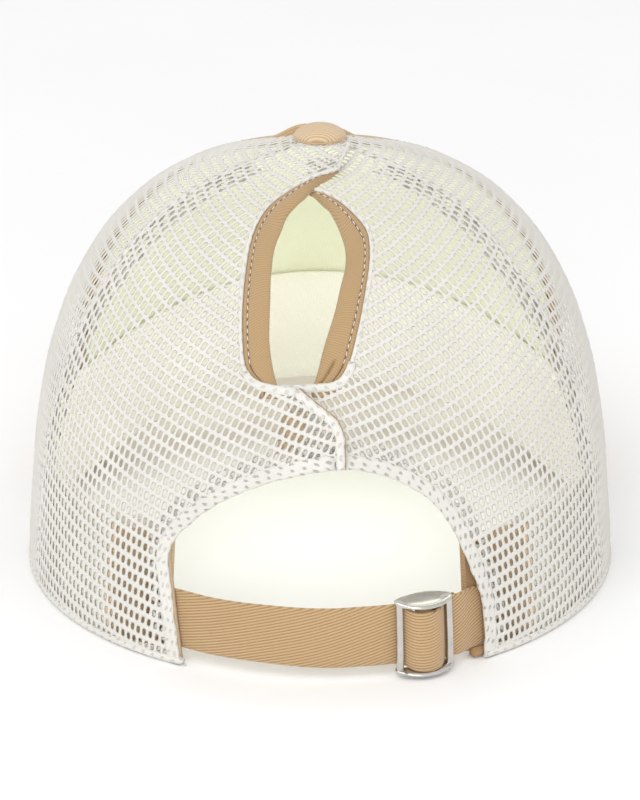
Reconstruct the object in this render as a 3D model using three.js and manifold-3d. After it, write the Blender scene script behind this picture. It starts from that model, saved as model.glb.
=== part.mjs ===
import * as THREE from "three";
import Module from "manifold-3d";

// A trucker cap. Lengths are in millimetres and angles in degrees. +Z is up, the peak points to -Y and the
// rear opening to +Y. Azimuth is measured round the crown from the back, positive towards the wearer's
// left, +X.

// Crown
const HALF_WIDTH = 85.3;
const BACK_DEPTH = 92.5;
const FRONT_DEPTH = 89.1;
const CROWN_HEIGHT = 123.9;
const SIDE_POWER = 2.534; // roundness of the side, back and front meridians; 2 is an ellipse
const BACK_POWER = 2.278;
const FRONT_POWER = 1.948;
const RIM_FLARE = { share: 0.013, height: 4.2, reach: 13.4 };
const FRONT_SWELL = { share: 0.155, height: 72, reach: 30 }; // the stiffened front stands fuller
const TIP = { rise: 3.0, reach: 11.0 }; // the panels draw up to the button
const TOP_HOLE_RADIUS = 3.4; // left by the panel points, under the button
const SEAM_GAP = 0.3;
const GAP = 0.3; // clearance between layers
const MESH_THICK = 1.0;
const FRONT_THICK = 1.4;
const LINING_THICK = 1.0;
const FACING_THICK = 0.8;
const FACING_UNDER = 3.2; // how far a slot facing reaches behind the mesh
const FACING_OVER = 8.0; // how far it shows inside the slot
const ARCH_FACING = 10.0;

// Lap of the left back panel over the right one
const LAP_LIFT = 2.4;
const LAP_BLEND = 15.0;
const LAP_TOP_RADIUS = 7.9; // inside this radius the two panels lie level

// Sweatband
const BAND_HEIGHT = 36.5;
const BAND_THICK = 1.8;
const BAND_LEFT_END = 28.8;
const BAND_RIGHT_END = -27.6;

// Strap and slide buckle
const STRAP = { low: 3.8, high: 19.9, thick: 1.2 };
const LOOP = { low: 4.3, high: 19.3, thick: 0.9 };
const BUCKLE_AT = -17.8;
const BAR_SPREAD = 4.45; // azimuth from the centre bar to each outer bar
const OUTER_BAR = { off: 0.9, radius: 1.05 };
const CENTRE_BAR = { off: 0.4, radius: 1.0 };
const BUCKLE = { low: 0.2, high: 21.4, plate: 1.0, overhang: 0.75, outward: 3.8, inward: 3.4 };

// Button
const BUTTON = { radius: 7.7, height: 3.75, edge: 0.75, shank: 1.7, shankDrop: 3.6 };

// Peak
const PEAK_HALF_WIDTH = 90;
const PEAK_SIDE = 87.2; // half-width where its side edges meet the plane of rest
const PEAK_LENGTH = 70;
const PEAK_THICK = 3.0;
const PEAK_ARCH = 20; // height of the inner edge at the centre over the side edges
const PEAK_DROOP = 7;
const PEAK_ANGLE = 64; // half the azimuth that the peak takes up on the rim
const ORIGIN_SHIFT_Y = 32.65; // brings the origin to the middle of the whole depth

const rad = (d) => (d * Math.PI) / 180;
const lerp = (a, b, t) => a + (b - a) * t;
const range = (n) => [...Array(n).keys()];
const smooth = (t) => {
  const c = Math.min(1, Math.max(0, t));
  return c * c * (3 - 2 * c);
};
const bump = (z, { share, height, reach }) => share * Math.exp(-(((z - height) / reach) ** 2));

// A short table with named columns.
const table = (columns, ...rows) => rows.map((row) => Object.fromEntries(columns.map((c, i) => [c, row[i]])));

// Azimuth of each seam and lap edge at a few heights
const SEAM_LEFT = table(["z", "az"], [0, 70.8], [40, 70.2], [64, 67.9], [94, 65.4], [110, 64.4],
  [120, 61.5], [127, 60]);
const SEAM_RIGHT = table(["z", "az"], [0, -69], [40, -67.6], [64, -65.2], [94, -60.8], [110, -60],
  [127, -60]);
const SEAM_FRONT = table(["z", "az"], [0, 117], [60, 118], [110, 119.5], [127, 120]);
const LAP_LEFT = table(["z", "az"], [0, -4], [66, -4.1], [70, -3], [77.6, 4.6], [100, -4], [119, -8],
  [121.5, -12.4], [122.7, -19.2], [123.7, -30.5], [124.5, -44], [125.3, -47], [127, -48]);
const LAP_RIGHT = table(["z", "az"], [0, 3], [58, 3], [68, 4], [77.6, 8.2], [119, 8],
  [122.2, 10], [123.65, 14], [124.25, -42], [124.5, -46], [125.3, -50], [127, -52]);

// Edges of the cut-outs: the slot in the left panel, the slot in the right panel, and the rear opening
const SLOT_LEFT = table(["az", "z"], [-12.4, 121.5], [3.5, 120.4], [14.5, 118.5], [21.4, 116],
  [22.8, 111.5], [20.7, 102.9], [17.6, 89.1], [15.6, 82], [12.2, 78.6], [4.6, 77.4]);
const SLOT_RIGHT = table(["az", "z"], [9, 120], [-3, 119], [-11, 117], [-16.2, 113], [-15.6, 108.5],
  [-11.9, 100], [-8.9, 91.6], [-6.2, 83.6], [-3.6, 79.6], [1.2, 78.7], [9, 78.2]);
const ARCH = table(["az", "z"], [24.6, -3], [25.4, 7], [27.1, 22], [27.8, 31], [25, 38.4], [18.5, 47.2],
  [9.9, 53.9], [1, 57.5], [-6, 57.9], [-13, 55], [-19.9, 48.2], [-24.2, 39], [-27.2, 27.8], [-29.4, 18],
  [-29.9, 8], [-29.9, -3]);

// Distance of the sweatband's outer face inside the crown's outer face, by azimuth from the back
const BAND_INSET = table(["az", "inset"], [42, 4.0], [60, 1.6], [110, 1.6], [122, 3.45]);

// Plan routes of the strap and of its loop: azimuth, and offset outward from the crown's face. The strap
// passes under the outer bars and over the centre bar; the loop goes round the centre bar and back.
const S = BAR_SPREAD;
const STRAP_ROUTE = table(["az", "off"], [33, -3.0], [29, -3.0], [24, -3.0], [19, -2.6], [12, -1.9],
  [5, -1.5], [-2, -1.3], [-8, -1.2], [-11, -1.15], [BUCKLE_AT + S, -1.15], [BUCKLE_AT + 3.6, -0.75],
  [BUCKLE_AT + 2.7, 0.6], [BUCKLE_AT + 1.8, 2.6], [BUCKLE_AT + 0.9, 3.65], [BUCKLE_AT, 3.85],
  [BUCKLE_AT - 0.9, 3.65], [BUCKLE_AT - 1.8, 2.6], [BUCKLE_AT - 2.7, 0.6], [BUCKLE_AT - 3.6, -0.75],
  [BUCKLE_AT - S, -1.15], [-24.2, -1.2], [-25.6, -1.6], [-27.2, -2.6], [-28.6, -3.0], [-31, -3.0],
  [-34, -3.0]);
const LOOP_ROUTE = table(["az", "off"], [-25, -3.85], [-23.6, -3.85], [-22.4, -3.8], [-21.4, -3.35],
  [-20.2, -2.55], [-19, -1.75], [BUCKLE_AT, -1.55], [-16.9, -1.05], [-16.5, 0.4], [-16.9, 1.85],
  [BUCKLE_AT, 2.3], [-18.5, 1.75], [-19.2, 0.6], [-20.1, -0.75], [-21.2, -2.0], [-22.4, -2.5],
  [-24.6, -2.55]);

// Straight-line reading of a table: the value of column "to" where column "from" is x.
function look(rows, from, to, x) {
  if (x <= rows[0][from]) return rows[0][to];
  for (const [i, row] of rows.entries()) {
    if (i === 0 || x > row[from]) continue;
    const last = rows[i - 1];
    return lerp(last[to], row[to], (x - last[from]) / (row[from] - last[from]));
  }
  return rows[rows.length - 1][to];
}
const edge = (rows, sign = 1) => (z) => sign * look(rows, "z", "az", z);

// The value between lo and hi at which a rising test turns from true to false.
function solve(lo, hi, below) {
  for (let i = 0; i < 40; i++) {
    const mid = (lo + hi) / 2;
    if (below(mid)) lo = mid;
    else hi = mid;
  }
  return (lo + hi) / 2;
}

// Height of the peak's underside; f runs from its inner edge to its outer edge.
function peakBase(x, f) {
  const side = Math.min(1, Math.abs(x) / PEAK_SIDE);
  return (PEAK_ARCH - PEAK_DROOP * f) * (1 - side * side);
}

function rimRadius(az) {
  const depth = Math.cos(rad(az)) > 0 ? BACK_DEPTH : FRONT_DEPTH;
  return 1 / Math.hypot(Math.sin(rad(az)) / HALF_WIDTH, Math.cos(rad(az)) / depth);
}

// The rim is level at the back and sides, and rises over the peak.
function rimRise(az) {
  const fromFront = 180 - Math.abs(az);
  const corner = PEAK_ANGLE + 2;
  const overPeak = (a) => peakBase(rimRadius(180 - a) * Math.sin(rad(a)), 0);
  if (fromFront <= corner) return overPeak(fromFront);
  return overPeak(corner) * (1 - smooth((fromFront - corner) / 32));
}

// A point of the crown's outer face; th runs up a meridian from 0 at the rim to a quarter turn at the top.
function face(az, th) {
  const sin = Math.sin(rad(az));
  const cos = Math.cos(rad(az));
  const sideways = sin * sin;
  const power = lerp(cos > 0 ? BACK_POWER : FRONT_POWER, SIDE_POWER, sideways);
  const plan = rimRadius(az) * Math.max(0, Math.cos(th)) ** (2 / power);
  const up = Math.max(0, Math.sin(th)) ** (2 / power) * CROWN_HEIGHT;
  const front = cos < 0 ? 1 - sideways : 0;
  const r = plan * (1 + bump(up, RIM_FLARE) + front * bump(up, FRONT_SWELL));
  const z = up + rimRise(az) * (1 - up / CROWN_HEIGHT) + TIP.rise * Math.exp(-((plan / TIP.reach) ** 2));
  return new THREE.Vector3(sin * r, cos * r, z);
}

// The same point moved along the face's normal, outward where off is positive.
function crown(az, th, off = 0) {
  const p = face(az, th);
  const turn = 0.05;
  const climb = 1e-3;
  const along = face(az + turn, th).sub(face(az - turn, th));
  const low = Math.max(0, th - climb);
  const up = face(az, low + 2 * climb).sub(face(az, low));
  const normal = up.cross(along);
  if (th === 0) normal.setZ(0); // the rim's own edge is level
  normal.normalize();
  if (normal.x * p.x + normal.y * p.y + normal.z * CROWN_HEIGHT < 0) normal.negate();
  return p.addScaledVector(normal, off);
}

const thAt = (az, z) => solve(0, Math.PI / 2, (th) => face(az, th).z < z);
const reach = (az, th) => Math.hypot(face(az, th).x, face(az, th).y);
const thAtRadius = (az, r) => solve(0.5, Math.PI / 2, (th) => reach(az, th) > r);

// As crown(), from azimuth and height; below the rim it goes straight down.
function wall(az, z, off = 0) {
  if (z > face(az, 0).z) return crown(az, thAt(az, z), off);
  return crown(az, 0, off).setZ(z);
}

// How far the left back panel and what is sewn to it stand out at the lap.
function lift(az, th) {
  const p = face(az, th);
  const r = Math.hypot(p.x, p.y);
  const clear = rad(az - look(LAP_RIGHT, "z", "az", Math.min(p.z, 122.5))) * r;
  return LAP_LIFT * smooth(1 - clear / LAP_BLEND) * smooth((r - LAP_TOP_RADIUS) / 4);
}

// A closed solid between two grids of the same size, its outer face and its inner face.
function slab(outer, inner) {
  const nv = outer.length;
  const nu = outer[0].length;
  const pos = [outer, inner].flat(2).flatMap((p) => p.toArray());
  const at = (g, v, u) => (g * nv + v) * nu + u;
  const tri = [];
  const quad = (a, b, c, d) => tri.push(a, b, c, a, c, d);
  for (const v of range(nv - 1)) {
    for (const u of range(nu - 1)) {
      quad(at(0, v, u), at(0, v, u + 1), at(0, v + 1, u + 1), at(0, v + 1, u));
      quad(at(1, v, u), at(1, v + 1, u), at(1, v + 1, u + 1), at(1, v, u + 1));
    }
    quad(at(0, v, 0), at(0, v + 1, 0), at(1, v + 1, 0), at(1, v, 0));
    quad(at(0, v, nu - 1), at(1, v, nu - 1), at(1, v + 1, nu - 1), at(0, v + 1, nu - 1));
  }
  for (const u of range(nu - 1)) {
    quad(at(0, 0, u), at(1, 0, u), at(1, 0, u + 1), at(0, 0, u + 1));
    quad(at(0, nv - 1, u), at(0, nv - 1, u + 1), at(1, nv - 1, u + 1), at(1, nv - 1, u));
  }
  return { pos, tri };
}

// A triangle list as a solid, facing out whichever way it was listed, and a solid as a three.js geometry.
const wasm = await Module();
wasm.setup();
function solid({ pos, tri }) {
  const corner = (i) => new THREE.Vector3().fromArray(pos, tri[i] * 3);
  const signed = (i) => corner(3 * i).dot(corner(3 * i + 1).cross(corner(3 * i + 2)));
  const volume = range(tri.length / 3).reduce((sum, i) => sum + signed(i), 0);
  const triVerts = new Uint32Array(volume < 0 ? tri.toReversed() : tri);
  return new wasm.Manifold(new wasm.Mesh({ numProp: 3, vertProperties: new Float32Array(pos), triVerts }));
}
function geometry(body) {
  const mesh = body.getMesh();
  const at = (i) => mesh.vertProperties.subarray(i * mesh.numProp, i * mesh.numProp + 3);
  const position = new Float32Array(range(mesh.numVert).flatMap((i) => [...at(i)]));
  const made = new THREE.BufferGeometry();
  made.setAttribute("position", new THREE.BufferAttribute(position, 3));
  made.setIndex(new THREE.BufferAttribute(new Uint32Array(mesh.triVerts), 1));
  made.computeVertexNormals();
  return made;
}

// A smooth outline through the rows of a table of azimuth and height.
function outline(rows, count) {
  const mmPerDegree = 1.3;
  const curve = new THREE.SplineCurve(rows.map(({ az, z }) => new THREE.Vector2(az * mmPerDegree, z)));
  return curve.getSpacedPoints(count).map((p) => ({ az: p.x / mmPerDegree, z: p.y }));
}

// A plug through the wall, to cut an opening with that outline; centre is a point well inside it.
function plug(points, centre) {
  const rings = [7, -9].flatMap((off) => points.map(({ az, z }) => wall(az, z, off)));
  const mids = [9, -10].map((off) => wall(centre.az, centre.z, off));
  const n = points.length;
  const pos = [...rings, ...mids].flatMap((p) => p.toArray());
  const tri = [];
  for (const i of range(n)) {
    const j = (i + 1) % n;
    tri.push(i, j, 2 * n, n + j, n + i, 2 * n + 1, i, n + i, j, j, n + i, n + j);
  }
  return solid({ pos, tri });
}

// Where a share of a meridian's length, from the rim to the top hole, lies on it.
function shareTh(az, share) {
  const steps = 120;
  const top = thAtRadius(az, TOP_HOLE_RADIUS);
  const stops = range(steps + 1).map((k) => top * (k / steps) ** 1.4);
  const lengths = [0];
  const piece = (k) => face(az, stops[k]).distanceTo(face(az, stops[k + 1]));
  for (const k of range(steps)) lengths.push(lengths[k] + piece(k));
  const want = share * lengths[steps];
  const k = Math.max(1, lengths.findIndex((l) => l >= want - 1e-9));
  return lerp(stops[k - 1], stops[k], (want - lengths[k - 1]) / (lengths[k] - lengths[k - 1]));
}

// A grid of places raised off the crown's face.
function sheet(places, off, extra) {
  return places.map((row) => row.map(({ az, th }) => crown(az, th, off + extra(az, th))));
}

// Rows of a panel as shares of the meridian, closer at the rim and at the top
const GORE_ROWS = 25;
const SHARES = range(GORE_ROWS + 1).map((k) => lerp(k / GORE_ROWS, smooth(k / GORE_ROWS), 0.55));

// One panel of the crown between two edges given as functions from height to azimuth.
const PLAIN_GORE = { columns: 8, crowd: 1, shares: SHARES, inset: 0, extra: () => 0 };
function gore(edgeA, edgeB, thick, shape = {}) {
  const { columns, crowd, shares, inset, extra } = { ...PLAIN_GORE, ...shape };
  const edgeAt = (line, share) => {
    const step = (az) => lerp(az, line(face(az, shareTh(az, share)).z), 0.7);
    return range(12).reduce(step, line(CROWN_HEIGHT / 2));
  };
  const places = shares.map((share) => {
    const a = edgeAt(edgeA, share);
    const b = edgeAt(edgeB, share);
    const half = ((SEAM_GAP / 2 / reach(a, shareTh(a, share))) * 180) / Math.PI;
    const way = Math.sign(b - a);
    return range(columns + 1).map((i) => {
      const az = lerp(a + way * half, b - way * half, (i / columns) ** crowd);
      return { az, th: shareTh(az, share) };
    });
  });
  const grid = (off) => sheet(places, off - inset, extra);
  return solid(slab(grid(0), grid(-thick)));
}

// A flat strip along an edge, from "over" on its open side to "under" behind the panel.
function facing(points, inside, { inset, over, under, extra = () => 0 }) {
  const last = points.length - 1;
  const places = points.map((here, i) => {
    const p = wall(here.az, here.z);
    const before = points[Math.max(0, i - 2)];
    const after = points[Math.min(last, i + 2)];
    const tangent = wall(after.az, after.z).sub(wall(before.az, before.z)).normalize();
    const th = thAt(here.az, Math.max(here.z, 0.5));
    const turn = 0.02;
    const climb = 0.002;
    const perAz = face(here.az + turn, th).sub(face(here.az - turn, th)).divideScalar(2 * turn);
    const perTh = face(here.az, th + climb).sub(face(here.az, th)).divideScalar(climb);
    const across = perTh.clone().cross(perAz).cross(tangent).normalize();
    if (across.dot(wall(inside.az, inside.z).sub(p)) < 0) across.negate();
    const step = (d) => ({
      az: here.az + (d * across.dot(perAz)) / perAz.lengthSq(),
      th: Math.max(0, th + (d * across.dot(perTh)) / perTh.lengthSq()),
    });
    const shown = over(i / last);
    return [shown, (shown - under) / 2, -under].map(step);
  });
  const grid = (off) => sheet(places, off - inset, extra);
  return solid(slab(grid(0), grid(-FACING_THICK)));
}

// A plan point at the strap's height; what is upright there leans with the wall.
const PLAN_TH = thAt(0, STRAP.low);
function planPoint({ az, off }) {
  const p = crown(az, PLAN_TH, off);
  return new THREE.Vector2(p.x, p.y);
}
function raise(p, z) {
  const lean = wall(0, Math.max(z, 0.5)).y / wall(0, STRAP.low).y;
  return new THREE.Vector3(p.x * lean, p.y * lean, z);
}

// A band that stands on edge along a route.
function upright(route, { low, high, thick }, step) {
  const curve = new THREE.SplineCurve(route.map(planPoint));
  const count = Math.round(curve.getLength() / step);
  const points = curve.getSpacedPoints(count);
  const side = (sign) =>
    points.map((p, i) => {
      const along = points[Math.min(count, i + 1)].clone().sub(points[Math.max(0, i - 1)]).normalize();
      const q = new THREE.Vector2(-along.y, along.x).multiplyScalar((sign * thick) / 2).add(p);
      return [low, high].map((z) => raise(q, z));
    });
  return solid(slab(side(1), side(-1)));
}

// A vertical bar of the buckle, and one of its lens-shaped end plates.
function bar(az, { off, radius }) {
  const sides = 12;
  const centre = planPoint({ az, off });
  const turn = (k) => (k / sides) * 2 * Math.PI;
  const spoke = (k) => new THREE.Vector2(Math.cos(turn(k)), Math.sin(turn(k))).multiplyScalar(radius);
  const ring = range(sides).map((k) => spoke(k).add(centre));
  const inPlate = BUCKLE.plate / 2;
  const levels = [BUCKLE.low + inPlate, BUCKLE.high - inPlate];
  const pos = levels.flatMap((z) => [...ring, centre].flatMap((p) => raise(p, z).toArray()));
  const tri = [];
  const top = sides + 1;
  for (const i of range(sides)) {
    const j = (i + 1) % sides;
    tri.push(i, j, top + i, j, top + j, top + i, i, sides, j, top + i, top + j, top + sides);
  }
  return solid({ pos, tri });
}
function plate(low) {
  const steps = 20;
  const reachAz = BAR_SPREAD + BUCKLE.overhang;
  const line = (offAt) =>
    range(steps + 1).map((i) => {
      const bulge = Math.sin((Math.PI * i) / steps) ** 0.8;
      const p = planPoint({ az: BUCKLE_AT + lerp(reachAz, -reachAz, i / steps), off: offAt(bulge) });
      return [low, low + BUCKLE.plate].map((z) => raise(p, z));
    });
  const outer = line((bulge) => OUTER_BAR.off + BUCKLE.outward * bulge);
  const inner = line((bulge) => OUTER_BAR.off - OUTER_BAR.radius - BUCKLE.inward * bulge);
  return solid(slab(outer, inner));
}

// The button: a dome over the panel points, with a short shank down through the hole that they leave.
function buttonGeometry() {
  const panelTop = face(0, thAtRadius(0, TOP_HOLE_RADIUS)).z;
  const seat = Math.max(...range(36).map((i) => face(i * 10, thAtRadius(i * 10, BUTTON.radius)).z));
  const under = panelTop + GAP + 0.05;
  const shoulder = seat + GAP + BUTTON.edge;
  const { radius, shank, shankDrop, height } = BUTTON;
  const profile = table(["r", "z"], [0, panelTop - shankDrop], [shank, panelTop - shankDrop],
    [shank, under], [3.6, under - 0.1], [radius - 0.9, shoulder - 0.35], [radius - 0.2, shoulder - 0.3],
    [radius, shoulder + 0.2]);
  const spring = shoulder + 0.9;
  const dome = range(9).map((i) => {
    const a = (i / 8) * (Math.PI / 2);
    return { r: (radius - 0.25) * Math.cos(a), z: spring + (panelTop + height - spring) * Math.sin(a) };
  });
  dome[8].r = 0;
  const line = [...profile, ...dome].map((p) => new THREE.Vector2(p.r, p.z));
  return new THREE.LatheGeometry(line, 32).rotateX(Math.PI / 2);
}

// The peak: a stiff curved plate whose inner edge follows the front rim.
function peakSolid() {
  const columns = 36;
  const rows = 8;
  const cornerY = crown(180 - PEAK_ANGLE, 0, GAP).y - 3;
  const frontY = -(FRONT_DEPTH + PEAK_LENGTH);
  const grid = (top) =>
    range(columns + 1).map((i) => {
      const t = lerp(-1, 1, i / columns);
      const az = t < 0 ? -180 - t * PEAK_ANGLE : 180 - t * PEAK_ANGLE;
      const foot = crown(az, 0, GAP + 0.05);
      const above = crown(az, thAt(az, foot.z + PEAK_THICK), GAP + 0.05);
      const inner = Math.hypot(above.x, above.y) > Math.hypot(foot.x, foot.y) ? above : foot;
      const turn = (t * Math.PI) / 2;
      const wide = PEAK_HALF_WIDTH * Math.sign(t) * Math.abs(Math.sin(turn)) ** 0.86;
      const returning = smooth((Math.abs(t) - 0.8) / 0.2) ** 2 * 0.92;
      const outerX = lerp(wide, Math.sign(t) * (Math.abs(inner.x) + 1.2), returning);
      const outerY = lerp(cornerY, frontY, Math.abs(Math.cos(turn)) ** 0.78);
      return range(rows + 1).map((j) => {
        const f = j / rows;
        const x = lerp(inner.x, outerX, f);
        const y = lerp(inner.y, outerY, f);
        const droop = f * Math.min(1, (1 - Math.abs(t)) * 3);
        const thick = j === rows ? PEAK_THICK - 1.4 : PEAK_THICK;
        return new THREE.Vector3(x, y, peakBase(x, droop) + (top ? thick : 0));
      });
    });
  return solid(slab(grid(true), grid(false)));
}

// The sweatband runs from one side of the rear opening round the front to the other.
function bandSolid() {
  const steps = 96;
  const grid = (depth) =>
    range(steps + 1).map((i) => {
      const turned = lerp(BAND_LEFT_END, 360 + BAND_RIGHT_END, i / steps);
      const az = turned > 180 ? turned - 360 : turned;
      const inset = look(BAND_INSET, "az", "inset", Math.abs(az));
      return [1, 13, 25, BAND_HEIGHT].map((h) => wall(az, face(az, 0).z + h, -inset - depth));
    });
  return solid(slab(grid(0), grid(BAND_THICK)));
}

const cloth = (color) => new THREE.MeshStandardMaterial({ color, roughness: 0.95 });
const khaki = cloth(0xceab7c);
const khakiTape = cloth(0xb08c5c);
const netting = cloth(0xececea);
const cream = cloth(0xe9e6cf);
const cotton = cloth(0xe8dccb);
const nickel = new THREE.MeshStandardMaterial({ color: 0xb4b2ae, roughness: 0.32, metalness: 1 });

const hat = new THREE.Group();
function add(name, made, material) {
  const mesh = new THREE.Mesh(made, material);
  mesh.name = name;
  hat.add(mesh);
}

// Back panels, with the rear opening and the slot cut out
const corners = (...rows) => table(["az", "z"], ...rows);
const slotLeft = outline(SLOT_LEFT, 44);
const slotRight = outline(SLOT_RIGHT, 44);
const arch = outline(ARCH, 64);
const slotLeftPlug = plug([...slotLeft, ...corners([-30, 76], [-34, 100], [-36, 121.9])], { az: 0, z: 100 });
const slotRightPlug = plug([...slotRight, ...corners([30, 78], [30, 100], [30, 120])], { az: 0, z: 100 });
const archFoot = range(7).map((i) => ({ az: lerp(-23, 18, i / 6), z: -3 }));
const archPlug = plug([...arch, ...archFoot], { az: -1, z: 24 });
const leftGore = gore(edge(LAP_LEFT), edge(SEAM_LEFT), MESH_THICK, { columns: 26, crowd: 1.7, extra: lift });
const rightGore = gore(edge(LAP_RIGHT), edge(SEAM_RIGHT), MESH_THICK, { columns: 12, crowd: 1.15 });
add("back_panel_left", geometry(leftGore.subtract(slotLeftPlug).subtract(archPlug)), netting);
add("back_panel_right", geometry(rightGore.subtract(slotRightPlug).subtract(archPlug)), netting);

// Side panels, front panels and the stiff lining behind the front
add("side_panel_left", geometry(gore(edge(SEAM_LEFT), edge(SEAM_FRONT), MESH_THICK)), netting);
add("side_panel_right", geometry(gore(edge(SEAM_RIGHT), edge(SEAM_FRONT, -1), MESH_THICK)), netting);
add("front_panel_left", geometry(gore(edge(SEAM_FRONT), () => 180, FRONT_THICK)), khaki);
add("front_panel_right", geometry(gore(edge(SEAM_FRONT, -1), () => -180, FRONT_THICK)), khaki);
const liningEdge = (z) => edge(SEAM_FRONT)(z) + 1.5;
const liningShape = { columns: 20, shares: SHARES.slice(1, -2), inset: FRONT_THICK + GAP + 0.15 };
add("front_lining", geometry(gore(liningEdge, (z) => 360 - liningEdge(z), LINING_THICK, liningShape)), cream);

// Facings of the slot and of the rear opening
const inset = MESH_THICK + GAP + 0.05;
const shownLeft = (t) => 1.6 + FACING_OVER * smooth(t / 0.25) * smooth((1 - t) / 0.12);
const shownRight = (t) => 1.2 + FACING_OVER * smooth(t / 0.25) * smooth((1 - t) / 0.2);
const slotLeftSewn = slotLeft.filter(({ az }) => az > 5.5);
const slotLeftShape = { inset: inset + 0.13, over: shownLeft, under: FACING_UNDER, extra: lift };
const slotRightShape = { inset, over: shownRight, under: FACING_UNDER };
add("slot_facing_left", geometry(facing(slotLeftSewn, { az: 0, z: 100 }, slotLeftShape)), khaki);
add("slot_facing_right", geometry(facing(slotRight, { az: 4, z: 100 }, slotRightShape)), khaki);
const archShape = { inset, over: () => -0.6, under: ARCH_FACING };
const archLeft = arch.filter(({ az, z }) => z > 0.5 && az > 4.6);
const archRight = arch.filter(({ az, z }) => z > 0.5 && az < 2.2);
const archMiddle = { az: 0, z: 20 };
const archLeftShape = { ...archShape, extra: lift };
add("arch_facing_left", geometry(facing(archLeft, archMiddle, archLeftShape)), khakiTape);
add("arch_facing_right", geometry(facing(archRight, archMiddle, archShape)), khakiTape);

// What lies round the rim: sweatband, strap with its loop and buckle, and peak; and the button on top
add("sweatband", geometry(bandSolid()), cotton);
add("strap", geometry(upright(STRAP_ROUTE, STRAP, 0.9)), khaki);
add("strap_loop", geometry(upright(LOOP_ROUTE, LOOP, 0.7)), khakiTape);
const bars = [bar(BUCKLE_AT + S, OUTER_BAR), bar(BUCKLE_AT - S, OUTER_BAR), bar(BUCKLE_AT, CENTRE_BAR)];
const plates = [plate(BUCKLE.low), plate(BUCKLE.high - BUCKLE.plate)];
add("buckle", geometry(wasm.Manifold.union([...bars, ...plates])), nickel);
add("peak", geometry(peakSolid()), khaki);
add("button", buttonGeometry(), khaki);

hat.position.set(0, ORIGIN_SHIFT_Y, 0);
export default hat;
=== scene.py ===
import math

import bmesh
import bpy
import numpy as np
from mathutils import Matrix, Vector


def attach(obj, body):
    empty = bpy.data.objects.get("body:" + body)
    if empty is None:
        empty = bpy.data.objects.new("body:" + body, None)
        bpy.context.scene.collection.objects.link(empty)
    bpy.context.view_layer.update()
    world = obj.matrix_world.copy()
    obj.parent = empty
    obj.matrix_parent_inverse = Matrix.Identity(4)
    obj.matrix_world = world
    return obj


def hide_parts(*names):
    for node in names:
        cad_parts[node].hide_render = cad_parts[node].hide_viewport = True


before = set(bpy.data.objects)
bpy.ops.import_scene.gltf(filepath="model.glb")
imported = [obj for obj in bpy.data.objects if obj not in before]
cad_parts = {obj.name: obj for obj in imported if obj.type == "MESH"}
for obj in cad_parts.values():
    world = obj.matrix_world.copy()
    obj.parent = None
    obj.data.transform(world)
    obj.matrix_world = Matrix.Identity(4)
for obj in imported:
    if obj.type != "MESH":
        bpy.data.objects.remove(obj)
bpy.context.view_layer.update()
scene = bpy.context.scene

# Sizes are in millimetres and angles in degrees until a mesh is made.
# Azimuth is measured round the crown from the back, positive towards the wearer's left.
MM = 0.001
SHIFT_Y = 32.65
HALF_WIDTH = 85.3
BACK_DEPTH = 92.5
FRONT_DEPTH = 89.1
CROWN_HEIGHT = 123.9
SIDE_POWER = 2.534
BACK_POWER = 2.278
FRONT_POWER = 1.948
RIM_FLARE = (0.013, 4.2, 13.4)
FRONT_SWELL = (0.155, 72.0, 30.0)
TIP_RISE = 3.0
TIP_REACH = 11.0
LAP_LIFT = 2.4
LAP_BLEND = 15.0
PEAK_HALF_WIDTH = 90.0
PEAK_SIDE = 87.2
PEAK_LENGTH = 70.0
PEAK_THICK = 3.0
PEAK_ARCH = 20.0
PEAK_DROOP = 7.0
PEAK_ANGLE = 64.0
PEAK_CORNER = PEAK_ANGLE + 2
RIM_FADE = 32.0
LAP_TOP = 122.5
BUTTON_CLEAR = 7.9
BUTTON_BLEND = 4.0

# Net: pitch of the holes along a row, distance between rows, and the size of a hole
PITCH = 2.15
ROW = 3.45
HOLE_WIDE = 1.34
HOLE_HIGH = 2.18
NET_THICK = 0.42

# Seams and lap edges, as (height, azimuth)
SEAM_LEFT = [(0, 70.8), (40, 70.2), (64, 67.9), (94, 65.4), (110, 64.4), (120, 61.5), (127, 60)]
SEAM_RIGHT = [(0, -69), (40, -67.6), (64, -65.2), (94, -60.8), (110, -60), (127, -60)]
SEAM_FRONT = [(0, 117), (60, 118), (110, 119.5), (127, 120)]
LAP_LEFT = [(0, -4), (66, -4.1), (70, -3), (77.6, 4.6), (100, -4), (119, -8), (121.5, -12.4),
            (122.7, -19.2), (123.7, -30.5), (124.5, -44), (125.3, -47), (127, -48)]
LAP_RIGHT = [(0, 3), (58, 3), (68, 4), (77.6, 8.2), (119, 8), (122.2, 10), (123.65, 14),
             (124.25, -42), (124.5, -46), (125.3, -50), (127, -52)]

# Edges of the openings, as (azimuth, height)
SLOT_LEFT = [(-12.4, 121.5), (3.5, 120.4), (14.5, 118.5), (21.4, 116), (22.8, 111.5), (20.7, 102.9),
             (17.6, 89.1), (15.6, 82), (12.2, 78.6), (4.6, 77.4)]
SLOT_RIGHT = [(9, 120), (-3, 119), (-11, 117), (-16.2, 113), (-15.6, 108.5), (-11.9, 100),
              (-8.9, 91.6), (-6.2, 83.6), (-3.6, 79.6), (1.2, 78.7), (9, 78.2)]
ARCH = [(24.6, -3), (25.4, 7), (27.1, 22), (27.8, 31), (25, 38.4), (18.5, 47.2), (9.9, 53.9), (1, 57.5),
        (-6, 57.9), (-13, 55), (-19.9, 48.2), (-24.2, 39), (-27.2, 27.8), (-29.4, 18), (-29.9, 8),
        (-29.9, -3)]
HOLE_LEFT = [(3.5, 118.7), (9, 116.9), (12.2, 115.0), (13.2, 112.2), (14.0, 109.2), (13.5, 104.5),
             (12.2, 96.8), (11, 87.8), (9.3, 80.7), (8.3, 77.6)]
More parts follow.
